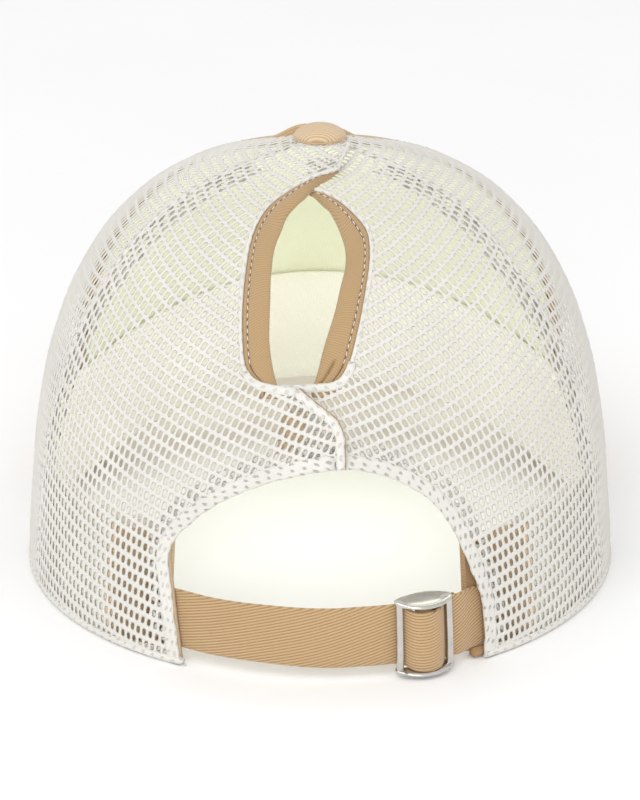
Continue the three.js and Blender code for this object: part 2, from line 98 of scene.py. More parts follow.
HOLE_RIGHT = [(5, 119), (0.5, 118.4), (-4.9, 116.2), (-7.6, 111.7), (-7.7, 107), (-5.4, 101.4),
              (-3.6, 96.1), (-1.1, 88.9), (0.8, 81), (1.8, 78.4)]


def smooth(t):
    t = np.clip(t, 0.0, 1.0)
    return t * t * (3 - 2 * t)


def mix(a, b, t):
    return a + (b - a) * t


def hill(v):
    return np.exp(-(v**2))


def swell(z, shape):
    share, height, reach = shape
    return share * hill((z - height) / reach)


def powered(v, power):
    return np.sign(v) * np.abs(v) ** power


def hashed(i, j, seed):
    """A fixed pseudo-random number from 0 to 1 for a pair of whole numbers."""
    v = np.sin(np.asarray(i) * 12.9898 + np.asarray(j) * 78.233 + seed * 37.719) * 43758.5453
    return v - np.floor(v)


def peak_base(x, f):
    side = np.minimum(1.0, np.abs(x) / PEAK_SIDE)
    return (PEAK_ARCH - PEAK_DROOP * f) * (1 - side * side)


def rim_radius(az):
    a = np.radians(az)
    depth = np.where(np.cos(a) > 0, BACK_DEPTH, FRONT_DEPTH)
    return 1 / np.hypot(np.sin(a) / HALF_WIDTH, np.cos(a) / depth)


def rim_rise(az):
    from_front = 180 - np.abs((az + 180) % 360 - 180)
    a = np.minimum(from_front, PEAK_CORNER)
    rise = peak_base(rim_radius(180 - a) * np.sin(np.radians(a)), 0)
    return rise * (1 - smooth((from_front - PEAK_CORNER) / RIM_FADE))


def face(az, th):
    """The crown's outer face: th runs from 0 at the rim to a quarter turn at the top."""
    az, th = np.broadcast_arrays(np.asarray(az, float), np.asarray(th, float))
    s, c = np.sin(np.radians(az)), np.cos(np.radians(az))
    power = mix(np.where(c > 0, BACK_POWER, FRONT_POWER), SIDE_POWER, s * s)
    plan = rim_radius(az) * np.maximum(np.cos(th), 0) ** (2 / power)
    up = np.maximum(np.sin(th), 0) ** (2 / power) * CROWN_HEIGHT
    front = np.where(c < 0, 1 - s * s, 0)
    r = plan * (1 + swell(up, RIM_FLARE) + front * swell(up, FRONT_SWELL))
    z = up + rim_rise(az) * (1 - up / CROWN_HEIGHT) + TIP_RISE * hill(plan / TIP_REACH)
    return np.stack([s * r, c * r, z], -1)


def unit(v):
    return v / np.maximum(np.linalg.norm(v, axis=-1, keepdims=True), 1e-12)


def crown(az, th, off=0.0):
    """A point of that face moved out along its normal."""
    az, th, off = np.broadcast_arrays(*(np.asarray(v, float) for v in (az, th, off)))
    p = face(az, th)
    along = face(az + 0.05, th) - face(az - 0.05, th)
    low = np.maximum(th - 1e-3, 0)
    normal = np.cross(face(az, low + 2e-3) - face(az, low), along)
    normal[..., 2] = np.where(th <= 1e-6, 0, normal[..., 2])
    normal = unit(normal)
    toward = p[..., 0] * normal[..., 0] + p[..., 1] * normal[..., 1] + CROWN_HEIGHT * normal[..., 2]
    normal = np.where(toward[..., None] < 0, -normal, normal)
    return p + normal * off[..., None]


# Meridians by their share of length from the rim to the top
AZ_STEP = 3.0
AZ_COLUMNS = np.arange(-180.0, 180.0 + AZ_STEP, AZ_STEP)
TH_ROWS = np.linspace(0, 1, 241) ** 1.3 * (math.pi / 2 * 0.9995)
SHARES = np.linspace(0, 1, 401)
steps = np.linalg.norm(np.diff(face(AZ_COLUMNS[:, None], TH_ROWS), axis=1), axis=2)
runs = np.concatenate([np.zeros((len(AZ_COLUMNS), 1)), np.cumsum(steps, 1)], 1)
LENGTHS = runs[:, -1]
TH_TABLE = np.array([np.interp(SHARES, run / run[-1], TH_ROWS) for run in runs])


def th_at(az, share):
    a = ((np.asarray(az, float) + 180) % 360) / AZ_STEP
    i = np.minimum(a.astype(int), len(AZ_COLUMNS) - 2)
    s = np.clip(share, 0, 1) * (len(SHARES) - 1)
    j = np.minimum(s.astype(int), len(SHARES) - 2)
    fa, fs = a - i, s - j
    low = mix(TH_TABLE[i, j], TH_TABLE[i + 1, j], fa)
    high = mix(TH_TABLE[i, j + 1], TH_TABLE[i + 1, j + 1], fa)
    return mix(low, high, fs)


def on(az, share, off=0.0):
    return crown(az, th_at(az, share), off)


def share_at(az, z):
    low, high = np.zeros_like(az, float), np.ones_like(az, float)
    for _ in range(26):
        middle = (low + high) / 2
        below = face(az, th_at(az, middle))[..., 2] < z
        low, high = np.where(below, middle, low), np.where(below, high, middle)
    return np.where(np.asarray(z) <= 0, 0.0, (low + high) / 2)


def edge_at(rows, z):
    return np.interp(z, *np.array(rows, float).T)


def lift(az, share, lifted=True):
    """How far the left back panel and what is sewn to it stand out where they lap over the right one."""
    if not lifted:
        return 0.0
    p = face(az, th_at(az, share))
    r = np.hypot(p[..., 0], p[..., 1])
    clear = np.radians(az - edge_at(LAP_RIGHT, np.minimum(p[..., 2], LAP_TOP))) * r
    return LAP_LIFT * smooth(1 - clear / LAP_BLEND) * smooth((r - BUTTON_CLEAR) / BUTTON_BLEND)


def at_run(s, run, rows):
    """Rows of numbers read off at places along a run."""
    return np.stack([np.interp(s, run, column) for column in rows.T], 1)


def curve(points, count):
    """Evenly spaced points of a smooth curve through the given ones."""
    p = np.array(points, float)
    p = np.vstack([2 * p[0] - p[1], p, 2 * p[-1] - p[-2]])
    t = np.linspace(0, len(points) - 1, (len(points) - 1) * 12 + 1)
    i = np.minimum(t.astype(int), len(points) - 2)
    f = (t - i)[:, None]
    a, b, c, d = p[i], p[i + 1], p[i + 2], p[i + 3]
    q = 0.5 * (2 * b + (c - a) * f + (2 * a - 5 * b + 4 * c - d) * f**2 + (3 * b - a - 3 * c + d) * f**3)
    run = np.concatenate([[0], np.cumsum(np.linalg.norm(np.diff(q, axis=0), axis=1))])
    at = np.linspace(0, run[-1], count)
    return at_run(at, run, q)


def outline(points, count):
    """The same for (azimuth, height) points, as (azimuth, share)."""
    wide = 1.3
    q = curve([(a * wide, z) for a, z in points], count)
    return places(q[:, 0] / wide, q[:, 1])


def places(az, z):
    return np.stack([az, share_at(az, z)], 1)


def edge_line(rows, low, high, count):
    z = np.linspace(low, high, count)
    return places(edge_at(rows, z), z)


# Meshes


def add(name, data):
    made = bpy.data.objects.new(name, data)
    scene.collection.objects.link(made)
    return made


def make(name, shape, look, lay=None, nodes=(), closed=True, crease=None):
    """One piece, from the points and faces of its shape, with the CAD nodes that it stands for."""
    mesh = bpy.data.meshes.new(name)
    verts, faces = np.asarray(shape[0], float), shape[1]
    mesh.from_pydata((verts + [0, SHIFT_Y, 0]) * MM, [], [list(f) for f in faces])
    if closed:
        bm = bmesh.new()
        bm.from_mesh(mesh)
        bmesh.ops.recalc_face_normals(bm, faces=bm.faces)
        bm.to_mesh(mesh)
        bm.free()
    mesh.polygons.foreach_set("use_smooth", np.ones(len(mesh.polygons), bool))
    if crease is not None:
        mesh.set_sharp_from_angle(angle=math.radians(crease))
    if lay is not None:
        flat = np.zeros((len(verts), 3), np.float32)
        flat[:, : lay.shape[-1]] = lay.reshape(len(verts), -1)
        mesh.attributes.new("lay", "FLOAT_VECTOR", "POINT").data.foreach_set("vector", flat.ravel())
    mesh.materials.append(look)
    piece = add(name, mesh)
    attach(piece, "root")
    if nodes:
        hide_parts(*nodes)
    return piece


def woven(u, v):
    """The places of a weave on a grid of points."""
    return np.stack(np.broadcast_arrays(u, v), -1)


def grid_faces(nv, nu, start=0, wrap=False):
    out = []
    for v in range(nv - 1):
        for u in range(nu if wrap else nu - 1):
            k = (u + 1) % nu
            here, above = start + v * nu, start + (v + 1) * nu
            out.append((here + u, here + k, above + k, above + u))
    return out


def slab(outer, inner):
    """A closed sheet between two grids of points."""
    nv, nu = outer.shape[:2]
    verts, faces = loft(np.concatenate([outer, inner[:, ::-1]], 1), caps=False)
    for first in (0, (nv - 1) * 2 * nu):
        last = first + 2 * nu - 1
        faces += [(first + u, first + u + 1, last - u - 1, last - u) for u in range(nu - 1)]
    return verts, faces


def loft(rings, caps=True):
    """A tube through closed rings of points."""
    nv, nu = rings.shape[:2]
    faces = grid_faces(nv, nu, wrap=True)
    if caps:
        faces.append(tuple(range(nu))[::-1])
        faces.append(tuple((nv - 1) * nu + k for k in range(nu)))
    return rings.reshape(-1, 3), faces


def run_of(points):
    return np.concatenate([[0], np.cumsum(np.linalg.norm(np.diff(points, axis=0), axis=1))])


def beside(path, across):
    """Places at a distance to the left of a path of places, on the crown."""
    az, share = path.T
    p = on(az, share)
    tangent = unit(np.gradient(p, axis=0))
    per_az = (on(az + 0.05, share) - on(az - 0.05, share)) / 0.1
    low = np.clip(share - 0.002, 0, 0.99)
    per_share = (on(az, low + 0.004) - on(az, low)) / 0.004
    side = unit(np.cross(np.cross(per_az, per_share), tangent))
    across = np.asarray(across, float)
    move_az = (side * per_az).sum(1) / (per_az**2).sum(1)
    move_share = (side * per_share).sum(1) / (per_share**2).sum(1)
    new_az = az[:, None] + move_az[:, None] * across
    new_share = np.clip(share[:, None] + move_share[:, None] * across, 0, 1)
    return new_az, new_share


def strip(name, path, profile, look, side=1, lifted=False, nodes=(), uneven=0.0):
    """A band along a path on the crown, with a closed profile of (across, height) points."""
    profile = np.array(profile, float)
    run = run_of(on(*path.T))[:, None]
    waver = uneven * (np.sin(run * 1.1 + 2 * np.sin(run * 0.27)) + 0.6 * np.sin(run * 2.3 + profile[:, 0]))
    across = (profile[:, 0] + waver) * side
    az, share = beside(path, across)
    off = profile[:, 1] + lift(az, share, lifted) + 0.8 * waver[:, ::-1]
    make(name, loft(on(az, share, off)), look, woven(run, run_of(profile)), nodes)


def stitches(name, lines, look, pitch, length, radius=0.17):
    """Rows of thread stitches along lines of points with their normals."""
    sides = 6
    rise = np.array([-0.14, 0.05, 0.12, 0.05, -0.14])[:, None]
    fat = (np.array([0.35, 0.9, 1.0, 0.9, 0.35]) * radius)[:, None, None]
    verts, faces = [], []
    turn = np.arange(sides) / sides * 2 * np.pi
    for row, (points, normals) in enumerate(lines):
        run = run_of(points)
        for k in range(int((run[-1] - length) / pitch)):
            s = k * pitch + 0.3 + np.linspace(0, length, 5)
            p, n = at_run(s, run, points), unit(at_run(s, run, normals))
            b = unit(np.cross(unit(np.gradient(p, axis=0)), n))
            slant = 0.22 * (hashed(k, row, 3.0) - 0.5)
            middle = p + n * rise + b * slant * np.linspace(-1, 1, 5)[:, None]
            spoke = np.cos(turn)[:, None] * b[:, None] + np.sin(turn)[:, None] * n[:, None]
            start = 5 * sides * len(verts)
            verts.append((middle[:, None] + fat * spoke).reshape(-1, 3))
            faces += grid_faces(5, sides, start, wrap=True)
            faces.append(tuple(range(start, start + sides))[::-1])
            faces.append(tuple(range(start + 4 * sides, start + 5 * sides)))
    make(name, (np.concatenate(verts), faces), look)


def with_normals(az, share, off):
    p = on(az, share, off)
    return p, unit(on(az, share, off + 1) - p)


def seam_line(path, across, side, height):
    """A line of points and normals at a distance beside a path on the crown."""
    az, share = beside(path, np.full((len(path), 1), across * side))
    return with_normals(az[:, 0], share[:, 0], height)


class Gore:
    """Lays the flat net of a panel on the crown. The rows fall towards the centre back, more so higher up."""

    def __init__(self, mid, way, tilt, turn):
        self.mid, self.way, self.tilt, self.turn = mid, way, tilt, turn
        self.length = float(np.interp(mid, AZ_COLUMNS, LENGTHS))
        p = on(mid, SHARES * 0.999)
        self.radii = np.maximum(np.hypot(p[:, 0], p[:, 1]), 3.0)

    def to_flat(self, path):
        az, share = path.T
        x = self.way * np.radians(az - self.mid) * np.interp(share, SHARES, self.radii)
        z = x + 1j * share * self.length
        w = np.exp(-1j * self.tilt) * (1 - np.exp(-self.turn * z)) / self.turn
        return np.stack([w.real, w.imag], 1)

    def from_flat(self, w):
        c = 1 - self.turn * (w[..., 0] + 1j * w[..., 1]) * np.exp(1j * self.tilt)
        z = -np.log(c) / self.turn
        share = np.clip(z.imag / self.length, 0, 1)
        az = self.mid + self.way * np.degrees(z.real / np.interp(share, SHARES, self.radii))
        return az, share


def inside(loop, points):
    hit = np.zeros(len(points), bool)
    for (x0, y0), (x1, y1) in zip(loop, np.roll(loop, -1, 0)):
        if y0 == y1:
            continue
        crosses = (y0 > points[:, 1]) != (y1 > points[:, 1])
        hit ^= crosses & (points[:, 0] < x0 + (points[:, 1] - y0) * (x1 - x0) / (y1 - y0))
    return hit


def nearest(loop, points):
    best = np.full(len(points), np.inf)
    spot = points.copy()
    for a, b in zip(loop, np.roll(loop, -1, 0)):
        d = b - a
        t = np.clip((points - a) @ d / max(d @ d, 1e-9), 0, 1)[:, None]
        q = a + t * d
        gap = ((points - q) ** 2).sum(1)
        closer = gap < best
        best = np.where(closer, gap, best)
        spot[closer] = q[closer]
    return spot, np.sqrt(best)


# One hole of the net: the corners and edges of its cell, and the rounded outline of the hole
CELL = np.array([(-0.5, -0.5), (-0.25, -0.5), (0, -0.5), (0.25, -0.5), (0.5, -0.5), (0.5, 0),
                 (0.5, 0.5), (0.25, 0.5), (0, 0.5), (-0.25, 0.5), (-0.5, 0.5), (-0.5, 0)]) * [PITCH, ROW]
TURN = np.radians([232, 247, 270, 293, 308, 0, 52, 67, 90, 113, 128, 180])
HOLE = np.stack([powered(np.cos(TURN), 0.8) * HOLE_WIDE, powered(np.sin(TURN), 0.9) * HOLE_HIGH], 1) / 2
HOLE_WANDER = [0.16, 0.22]
# The strands stand highest where they knot, and their section has four rings: cell, lip, hole and back
KNOT = np.array([0.12, 0, -0.1, 0, 0.12, 0, 0.12, 0, -0.1, 0, 0.12, 0])
KNOT_SHARE = [1, 0.3, 0, 0]
RING_DEPTH = np.array([0.04, -0.12, -NET_THICK * 0.6, -NET_THICK])
LIP_SHARE = 0.46
# Cells are kept up to this distance outside the border. Towards the rim the holes get smaller.
CELL_REACH = 1.5
SMALL_BELOW, SMALL_BLEND, SMALLER = 0.12, 0.26, 0.14


def net(name, gore, border, nodes=(), lifted=False, base=0.0, seed=1.0):
    """A knitted net cut to a border of places, with rounded strands between its holes."""
    loop = gore.to_flat(border)
    low, high = loop.min(0), loop.max(0)
    i, j = np.meshgrid(np.arange(math.floor(low[0] / PITCH) - 1, math.ceil(high[0] / PITCH) + 2),
                       np.arange(math.floor(low[1] / ROW) - 1, math.ceil(high[1] / ROW) + 2))
    i, j = i.ravel(), j.ravel()
    centre = np.stack([(i + 0.5 * (j % 2)) * PITCH, j * ROW], 1)
    _, gap = nearest(loop, centre)
    keep = inside(loop, centre) | (gap < CELL_REACH)
    i, j, centre = i[keep], j[keep], centre[keep]
    n, m = len(centre), len(CELL)

    # Every ring is a closed loop of the same number of points; neighbours share the cells' own corners.
    wander = np.stack([hashed(i, j, seed) - 0.5, hashed(j, i, seed + 5) - 0.5], 1) * HOLE_WANDER
    near_rim = 1 - smooth((gore.from_flat(centre)[1] - SMALL_BELOW) / SMALL_BLEND)
    size = ((0.95 + 0.14 * hashed(i, j, seed + 9)) * (1 - SMALLER * near_rim))[:, None, None]
    rim = centre[:, None] + CELL
    hole = (centre + wander)[:, None] + HOLE * size
    lip = hole + (rim - hole) * LIP_SHARE
    rings = np.stack([rim, lip, hole, rim])
    flat = rings.reshape(-1, 2)
    out = ~inside(loop, flat)
    flat[out] = nearest(loop, flat[out])[0]
    az, share = gore.from_flat(flat)
    ripple = 0.1 * np.sin(flat[:, 0] * 0.31 + seed) * np.sin(flat[:, 1] * 0.23)
    off = base + np.repeat(RING_DEPTH, n * m) + ripple + lift(az, share, lifted)
    off = off + np.tile(KNOT, 4 * n) * np.repeat(KNOT_SHARE, n * m)
    verts = on(az, share, off)

    index = np.arange(4 * n * m).reshape(4, n, m)
    key = np.round((centre[:, None] + CELL) / [PITCH / 4, ROW / 2]).astype(int).reshape(-1, 2)
    _, first, same = np.unique(key, axis=0, return_index=True, return_inverse=True)
    shared = first[same.ravel()].reshape(n, m)
    index[0] = shared
    index[3] = shared + 3 * n * m
    turned = np.roll(index, -1, axis=2)
    quads = np.concatenate([np.stack([index[k], turned[k], turned[k + 1], index[k + 1]], -1).reshape(-1, 4)
                            for k in range(3)])
    corner = flat[quads]
    diagonal = corner[:, 2] - corner[:, 0], corner[:, 3] - corner[:, 1]
    area = np.abs(diagonal[0][:, 0] * diagonal[1][:, 1] - diagonal[0][:, 1] * diagonal[1][:, 0])
    quads = quads[area > 2e-3]
    used, tidy = np.unique(quads, return_inverse=True)
    quads = tidy.reshape(-1, 4)
    verts = verts[used]
    p = verts[quads[0]]
    if np.dot(np.cross(p[1] - p[0], p[2] - p[0]), [p[0][0], p[0][1], 60]) < 0:
        quads = quads[:, ::-1]
    make(name, (verts, quads.tolist()), WHITE, flat[used], nodes, closed=False)


# Finishes, with their colours from 0 to 255. The slot's facings are about FACING_V wide along the second
# coordinate of their weave, and their stitching runs at SEAM_SHARE of that.
FACING_V = 8.0
SEAM_SHARE = 0.215


def srgb(color):
    c = np.array(color) / 255
    return [*np.where(c <= 0.04045, c / 12.92, ((c + 0.055) / 1.055) ** 2.4).tolist(), 1.0]


class Finish:
    """A Principled material with a few helpers to wire its nodes."""

    def __init__(self, name, **values):
        self.material = bpy.data.materials.new(name)
        self.material.use_nodes = True
        self.tree = self.material.node_tree
        self.shader = self.tree.nodes["Principled BSDF"]
        for key, value in values.items():
            self.shader.inputs[key.replace("_", " ")].default_value = value

    def node(self, kind, settings=None, **sockets):
        made = self.tree.nodes.new("ShaderNode" + kind)
        for key, value in (settings or {}).items():
            setattr(made, key, value)
        for key, value in sockets.items():
            spot = made.inputs[int(key[1:])] if key[1:].isdigit() else made.inputs[key.replace("_", " ")]
            if isinstance(value, bpy.types.NodeSocket):
                self.tree.links.new(value, spot)
            else:
                spot.default_value = value
        return made

    def link(self, socket, name):
        self.tree.links.new(socket, self.shader.inputs[name])

    def lay(self):
        return self.node("Attribute", {"attribute_name": "lay"}).outputs["Vector"]

    def place(self):
        return self.node("TexCoord").outputs["Object"]

    def place_mm(self):
        return self.node("VectorMath", {"operation": "SCALE"}, _0=self.place(), _3=1000.0).outputs["Vector"]

    def math(self, operation, a, b=0.5, c=0.5):
        return self.node("Math", {"operation": operation}, _0=a, _1=b, _2=c).outputs[0]

    def times(self, a, b):
        return self.math("MULTIPLY", a, b)

    def weigh(self, a, part_a, b, part_b):
        return self.math("ADD", self.times(a, part_a), self.times(b, part_b))

    def noise(self, vector, scale, detail=3.0, roughness=0.55):
        made = self.node("TexNoise", None, Vector=vector, Scale=scale, Detail=detail, Roughness=roughness)
        return made.outputs["Factor" if "Factor" in made.outputs else "Fac"]

    def wave(self, vector, direction, pitch, warp=None):
        """A sine from 0 to 1 across lines with that pitch, square to the direction."""
        d = np.array(direction, float)
        d = d / np.linalg.norm(d) * 2 * math.pi / pitch
        dot = self.node("VectorMath", {"operation": "DOT_PRODUCT"}, _0=vector, _1=tuple(d)).outputs["Value"]
        if warp is not None:
            dot = self.math("ADD", dot, warp)
        return self.math("MULTIPLY_ADD", self.math("SINE", dot), 0.5, 0.5)

    def ramp(self, value, low, high, a=0.0, b=1.0):
        made = self.node("MapRange", None, Value=value, From_Min=low, From_Max=high, To_Min=a, To_Max=b)
        return made.outputs[0]

    def blend(self, factor, a, b, kind="MIX"):
        made = self.node("Mix", {"data_type": "RGBA", "blend_type": kind}, _0=factor, _6=a, _7=b)
        return made.outputs[2]

    def bump(self, height, distance, strength=1.0):
        made = self.node("Bump", None, Height=height, Distance=distance, Strength=strength)
        self.link(made.outputs["Normal"], "Normal")


def knit(name, light, shade, hole_shade=None):
    """White knitted yarn. With a colour for the holes, the holes of a folded or gathered edge show as small
    slanted dents, darkened in that colour as painted shade.
    """
    f = Finish(name, Roughness=0.72, Sheen_Weight=0.15, Specular_IOR_Level=0.35)
    lay, place = f.lay(), f.place()
    yarn = f.wave(lay, (0.5, 1.0, 0), 0.42, f.times(f.noise(lay, 0.9), 5.0))
    fuzz = f.noise(place, 2600.0, 2.0)
    patch = f.noise(place, 55.0, 3.0)
    tone = f.weigh(yarn, 0.35, patch, 0.65)
    color = f.blend(f.ramp(tone, 0.25, 0.75), srgb(shade), srgb(light))
    height = f.weigh(yarn, 0.6, fuzz, 0.4)
    if hole_shade is not None:
        warp = f.times(f.noise(lay, 0.4), 5.0)
        rows = f.wave(lay, (0.55, 1.0, 0), 1.75, warp)
        dent = f.times(rows, f.wave(lay, (1.0, -0.3, 0), 3.1, warp))
        dent = f.times(dent, f.ramp(f.noise(lay, 0.8), 0.3, 0.6, 0.6, 1.1))
        dent = f.ramp(dent, 0.5, 0.85)
        # Painted shade: the dents are darkened where the holes of the fold would show shade
        color = f.blend(f.times(dent, 0.75), color, srgb(hole_shade))
        height = f.math("SUBTRACT", height, f.times(dent, 2.6))
    f.link(color, "Base Color")
    f.bump(height, 0.00016, 0.8)
    return f.material


def twill(name, ridge, groove, pitch, direction, depth=0.0002, source="lay", wander=3.0, seam=None):
    """Diagonal twill: ridges of thread with darker grooves, thread by thread, and faint uneven colour.

    A seam is a line of that second coordinate where the cloth is pulled in; painted shade darkens the cloth
    along it.
    """
    f = Finish(name, Roughness=0.85, Sheen_Weight=0.25, Sheen_Roughness=0.6, Specular_IOR_Level=0.25)
    ridge, groove = srgb(ridge), srgb(groove)
    place = f.place()
    at = f.lay() if source == "lay" else f.place_mm()
    warp = f.times(f.noise(at, 0.22), wander)
    line = f.wave(at, direction, pitch, warp)
    d = np.array(direction, float)
    slanted = 0.8 * np.array([-d[1], d[0], d[2]]) + 0.6 * d
    thread = f.wave(at, slanted, pitch * 0.62)
    body = f.weigh(line, 0.78, thread, 0.22)
    color = f.blend(f.ramp(body, 0.12, 0.62), groove, ridge)
    patch = f.noise(place, 60.0, 4.0)
    color = f.blend(f.ramp(patch, 0.3, 0.7, 0.0, 0.10), color, groove)
    fleck = f.noise(at, 2.4, 2.0)
    color = f.blend(f.ramp(fleck, 0.4, 0.75, 0.0, 0.45), color, ridge)
    # Painted shade: the cloth is darkened along the stitching's groove, where shade falls
    if seam is not None:
        across = f.node("SeparateXYZ", None, Vector=at).outputs["Y"]
        apart = f.math("ABSOLUTE", f.math("SUBTRACT", across, seam))
        color = f.blend(f.ramp(apart, 0.1, 0.38, 0.8, 0.0), color, srgb(SEAM_GROOVE_SHADE))
    f.link(color, "Base Color")
    fuzz = f.noise(place, 3200.0, 2.0)
    f.bump(f.math("ADD", body, f.times(fuzz, 0.25)), depth, 0.9)
    return f.material


def plain(name, light, shade, rough=0.9, scale=900.0):
    """Plain-woven cotton with a fine square weave."""
    f = Finish(name, Roughness=rough, Sheen_Weight=0.2, Specular_IOR_Level=0.2)
    place = f.place()
    mm = f.place_mm()
    weave = f.times(f.wave(mm, (1, 1, 0.2), 0.7), f.wave(mm, (0.2, -0.3, 1), 0.55))
    patch = f.noise(place, 70.0, 4.0)
    tone = f.weigh(weave, 0.4, patch, 0.6)
    f.link(f.blend(f.ramp(tone, 0.2, 0.7), srgb(shade), srgb(light)), "Base Color")
    f.bump(f.math("ADD", weave, f.times(f.noise(place, scale), 0.4)), 0.00012, 0.8)
    return f.material


def metal(name):
    """Satin nickel, brushed along its bars and a little uneven."""
    f = Finish(name, Metallic=1.0, Roughness=0.3)
    place = f.place()
    brushed = f.node("Mapping", {"vector_type": "TEXTURE"}, Vector=place, Scale=(0.2, 0.2, 6.0)).outputs[0]
    grain = f.noise(brushed, 3500.0, 2.0)
    cloud = f.noise(place, 260.0, 3.0)
    f.link(f.blend(f.ramp(cloud, 0.3, 0.7), srgb(NICKEL_DARK), srgb(NICKEL_LIGHT)), "Base Color")
    both = f.math("MULTIPLY_ADD", grain, 0.5, f.times(cloud, 0.5))
    f.link(f.ramp(both, 0.3, 0.7, 0.2, 0.3), "Roughness")
    f.bump(grain, 0.00002, 0.2)
    return f.material


# Colour of the painted shade in the facings' stitching groove
SEAM_GROOVE_SHADE = (118, 84, 56)
NICKEL_DARK, NICKEL_LIGHT = (196, 193, 188), (210, 207, 202)
KHAKI = (199, 167, 124)
WHITE = knit("white_net", (232, 229, 222), (219, 216, 209))
# The hems' hole colours are painted shade in their dents
HEM = knit("white_hem", (232, 230, 223), (217, 214, 207), hole_shade=(168, 163, 152))
ROLLED = knit("white_roll", (234, 232, 225), (218, 216, 208), hole_shade=(211, 208, 200))
STRAP_TWILL = twill("strap_twill", KHAKI, (148, 115, 77), 0.8, (0, 1, 0), 0.00018, wander=1.2)
PANEL_TWILL = twill("panel_twill", KHAKI, (184, 151, 109), 0.8, (0.8, 0.25, 1.0), 0.00016, "place")
BUTTON_TWILL = twill("button_twill", (220, 194, 160), (182, 150, 110), 0.6, (0.1, 1.0, 0.25), 0.00012,
                     "place", wander=1.2)
FACING_TWILL = twill("facing_twill", (183, 153, 112), (166, 135, 95), 0.62, (1.0, 0.9, 0), 0.0001,
                     wander=0.8, seam=SEAM_SHARE * FACING_V)
TAPE = twill("khaki_tape", (186, 148, 102), (146, 110, 70), 0.5, (1.0, 0.8, 0), 0.00012)
BAND_TAPE = twill("band_tape", (224, 200, 166), (198, 168, 130), 0.5, (1.0, 0.8, 0), 0.00012)
LINING = plain("cream_lining", (237, 238, 213), (228, 229, 200))
COTTON = plain("band_cotton", (245, 243, 230), (239, 236, 221))
THREAD = plain("khaki_thread", (232, 210, 176), (206, 176, 136), 0.6, 3000.0)
WHITE_THREAD = plain("white_thread", (246, 243, 236), (226, 220, 208), 0.6, 3000.0)
NICKEL = metal("satin_nickel")

# Panels of net
TOP_Z = 126.3
RIM_LEFT, RIM_RIGHT, RIM_FRONT = SEAM_LEFT[0][1], SEAM_RIGHT[0][1], SEAM_FRONT[0][1]
slot_left = outline(SLOT_LEFT, 60)
slot_right = outline(SLOT_RIGHT, 60)
arch = outline(ARCH, 90)
arch_left = arch[arch[:, 0] > -4.0]
arch_right = arch[arch[:, 0] < 3.0]


def rim_line(a, b, count):
    return np.stack([np.linspace(a, b, count), np.zeros(count)], 1)


def back_border(rim, seam, lap_upper, slot, lap_lower, arch_edge):
    """The outline of a back panel: rim, side seam, upper lap, slot, lower lap and rear opening."""
    up = edge_line(seam, 0.5, TOP_Z, 50)
    return np.concatenate([rim_line(*rim, 14), up, lap_upper[::-1], slot, lap_lower[::-1], arch_edge])


def side_border(way, rim, seam):
    """The outline of a side panel: rim, front seam and side seam."""
    front = edge_line(SEAM_FRONT, 4.7, TOP_Z, 50) * [way, 1]
    return np.concatenate([rim_line(*rim, 14), front, edge_line(seam, 0.5, TOP_Z, 50)[::-1]])


left_border = back_border((23.3, RIM_LEFT), SEAM_LEFT, edge_line(LAP_LEFT, 121.6, TOP_Z, 16), slot_left,
                          edge_line(LAP_LEFT, 58, 77.2, 12), arch_left[::-1])
right_border = back_border((-29.6, RIM_RIGHT), SEAM_RIGHT, edge_line(LAP_RIGHT, 120.4, TOP_Z, 16), slot_right,
                           edge_line(LAP_RIGHT, 57.6, 77.6, 8), arch_right)
side_left = side_border(1, (RIM_LEFT, RIM_FRONT), SEAM_LEFT)
side_right = side_border(-1, (RIM_RIGHT, -RIM_FRONT), SEAM_RIGHT)

net("net_back_left", Gore(34, 1, 0.12, 0.003), left_border, ["back_panel_left"], lifted=True, seed=1.0)
net("net_back_right", Gore(-34, -1, 0.12, 0.003), right_border, ["back_panel_right"], seed=2.0)
net("net_side_left", Gore(93, 1, -0.04, 0.0006), side_left, ["side_panel_left"], seed=3.0)
net("net_side_right", Gore(-93, -1, -0.04, 0.0006), side_right, ["side_panel_right"], seed=4.0)

# The seams' allowances: a second layer of net behind the back panels, along the side seams


def allowance(rows, way):
    """A border strip on one side of a seam."""
    line = edge_line(rows, 39, 122, 40)
    p = on(*line.T)
    turn_in = way * np.degrees(ALLOWANCE / np.hypot(p[:, 0], p[:, 1]))
    return np.concatenate([line, (line + np.stack([turn_in, np.zeros(len(line))], 1))[::-1]])


SECOND_LAYER = -0.75
ALLOWANCE = 8
TURNED_NEAR, TURNED_FAR = 3.2, 7.6
net("allowance_left", Gore(64, 1, 0.5, 0.001), allowance(SEAM_LEFT, -1), base=SECOND_LAYER, seed=6.0)
net("allowance_right", Gore(-62, -1, 0.5, 0.001), allowance(SEAM_RIGHT, 1), base=SECOND_LAYER, seed=7.0)


def turned_in(path):
    """A border strip between two distances from the edge of the rear opening."""
    path = path[3:-3:2]
    az, share = beside(path, np.broadcast_to([-TURNED_NEAR, -TURNED_FAR], (len(path), 2)))
    both = np.stack([az, share], -1)
    return np.concatenate([both[:, 0], both[::-1, 1]])


turned_left, turned_right = turned_in(arch_left), turned_in(arch_right)
net("turned_left", Gore(20, 1, 0.55, 0.001), turned_left, lifted=True, base=SECOND_LAYER, seed=8.0)
net("turned_right", Gore(-20, -1, 0.55, 0.001), turned_right, base=SECOND_LAYER, seed=9.0)

